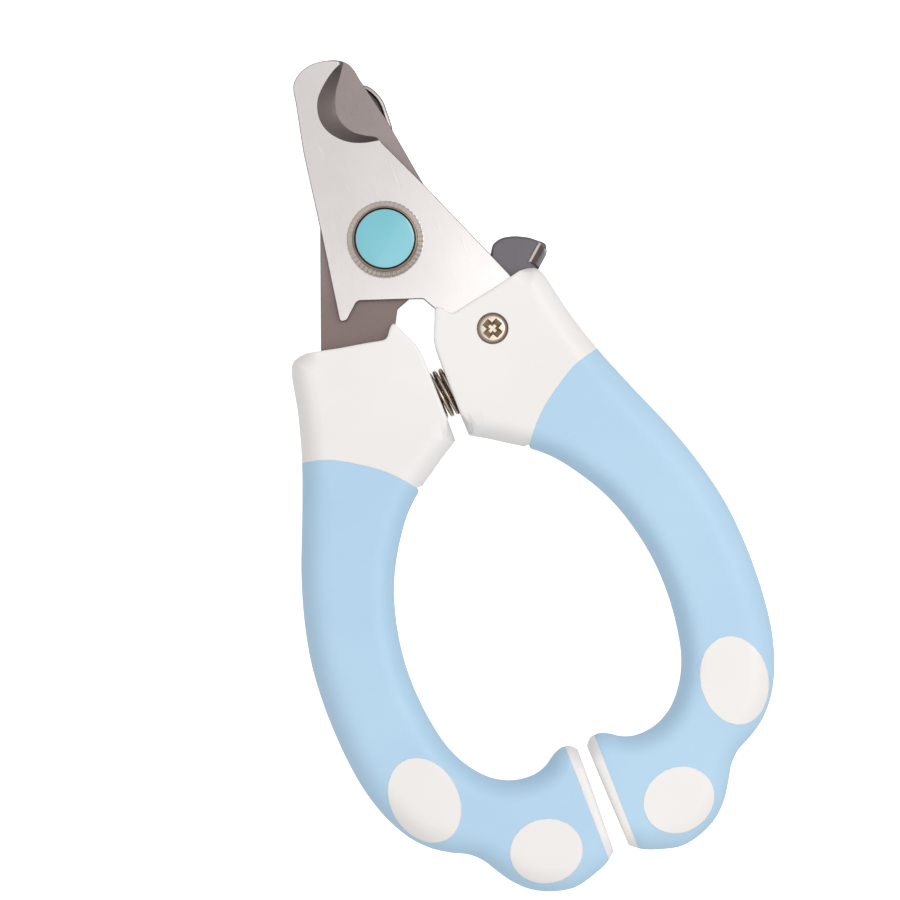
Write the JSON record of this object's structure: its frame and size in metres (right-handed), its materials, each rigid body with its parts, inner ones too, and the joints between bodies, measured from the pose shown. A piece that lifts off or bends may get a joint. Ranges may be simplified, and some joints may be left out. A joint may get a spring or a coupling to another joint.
{
  "type": "pet nail trimmer",
  "caption": "Plier-type pet nail trimmer: crossing notched steel blades on a knurled pivot nut, thumb lock, coil return spring and paw-shaped handles with soft blue grips over white cores.",
  "frame": {"origin": "middle of the bounding box's underside, on the flat the trimmer lies on; the pivot axis is 43.25 mm towards the blades from it", "axes": "+X to the tool's right with the front face up, +Y from the handles towards the nose of the blades, +Z out of the front face, along the pivot axis"},
  "size_m": [0.0814, 0.1554, 0.013],
  "materials": {
    "satin_steel": "stamped stainless sheet, satin ground, with a hollow-ground cutting bevel",
    "dark_steel": "stamped stainless sheet, darker brushed finish",
    "lever_steel": "blackened steel, satin",
    "bright_steel": "bright nickel plate",
    "spring_steel": "hard-drawn spring wire, oiled, with a brown cast",
    "brass": "machined brass, hidden inside the handle",
    "white_plastic": "moulded ABS with a fine spark texture",
    "blue_grip": "soft thermoplastic rubber, satin, light blue",
    "enamel": "plain teal enamel, glossy, with no mark on it",
    "nylon": "natural nylon"
  },
  "bodies": {
    "right_handle": {"front_blade": "satin_steel", "right_core": "white_plastic", "right_grip": "blue_grip", "pivot_bolt": "bright_steel", "pivot_sleeve": "bright_steel", "nut_washer": "bright_steel", "pivot_nut": "bright_steel", "pivot_cap": "bright_steel", "badge": "enamel", "guard_washer": "nylon", "lock_screw": "bright_steel", "lock_bush": "brass", "lock_friction_ring": "bright_steel", "lock_insert": "brass", "return_spring": "spring_steel"},
    "left_handle": {"rear_blade": "dark_steel", "left_core": "white_plastic", "left_grip": "blue_grip"},
    "nail_guard": {"nail_guard": "bright_steel"},
    "lock_lever": {"lock_lever": "lever_steel"}
  },
  "joints": [
    {"name": "main_pivot", "type": "hinge", "parent": "right_handle", "child": "left_handle", "pos_m": [0, 0.04325, 0.0065], "axis": [0, 0, -1], "range_deg": [-1, 28], "stiffness_Nm_per_rad": 1.7, "springref_deg": 29.79, "deforming": ["return_spring"]},
    {"name": "lock_pivot", "type": "hinge", "parent": "right_handle", "child": "lock_lever", "pos_m": [0.0121, 0.02135, 0.0054], "axis": [0, 0, 1], "range_deg": [0, 14]},
    {"name": "guard_pivot", "type": "hinge", "parent": "right_handle", "child": "nail_guard", "pos_m": [0, 0.04325, 0.0035], "axis": [0, 0, 1], "range_deg": [-75, 80]}
  ]
}
